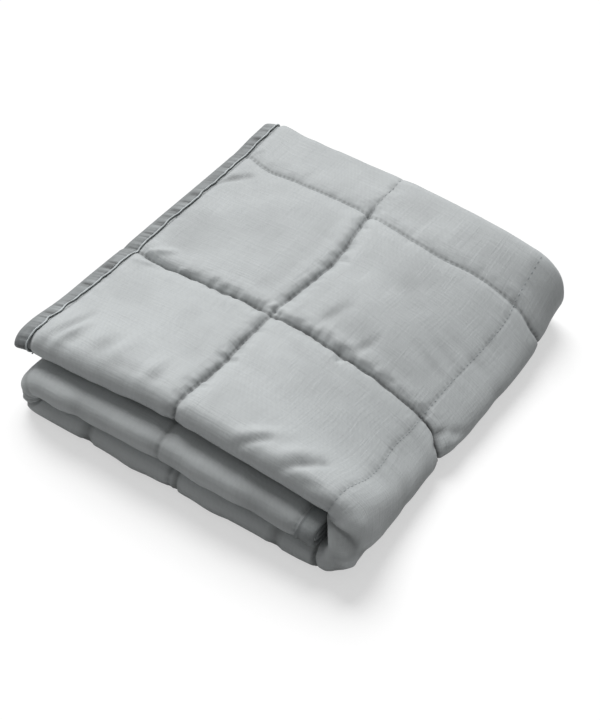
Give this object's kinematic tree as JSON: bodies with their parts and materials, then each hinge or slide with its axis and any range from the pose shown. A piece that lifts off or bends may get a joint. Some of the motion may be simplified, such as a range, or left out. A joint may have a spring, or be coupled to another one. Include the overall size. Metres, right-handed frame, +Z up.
{
  "type": "folded quilted blanket",
  "caption": "Small quilted cotton blanket with square stitched cells and taped edges, folded in quarters and then in three, lying flat.",
  "frame": {"origin": "centre of the folded stack's bounding box, on the surface that it lies on", "axes": "+Z up from the surface; +X from the free taped edge of the top panel towards the tall fold; +Y from the rounded front folds towards the back edge"},
  "size_m": [0.3108, 0.3184, 0.0704],
  "materials": {
    "quilted_cotton": "plain-woven cotton, light cool grey, matt, quilted in squares with matching thread",
    "edge_tape": "the same cotton in a slightly darker grey, folded over the edge and stitched, finely puckered"
  },
  "bodies": {
    "root": {"quilt": "quilted_cotton", "tape_top_end": "edge_tape", "tape_tucked_end": "edge_tape", "tape_side_outer": "edge_tape", "tape_side_inner": "edge_tape"}
  },
  "joints": []
}
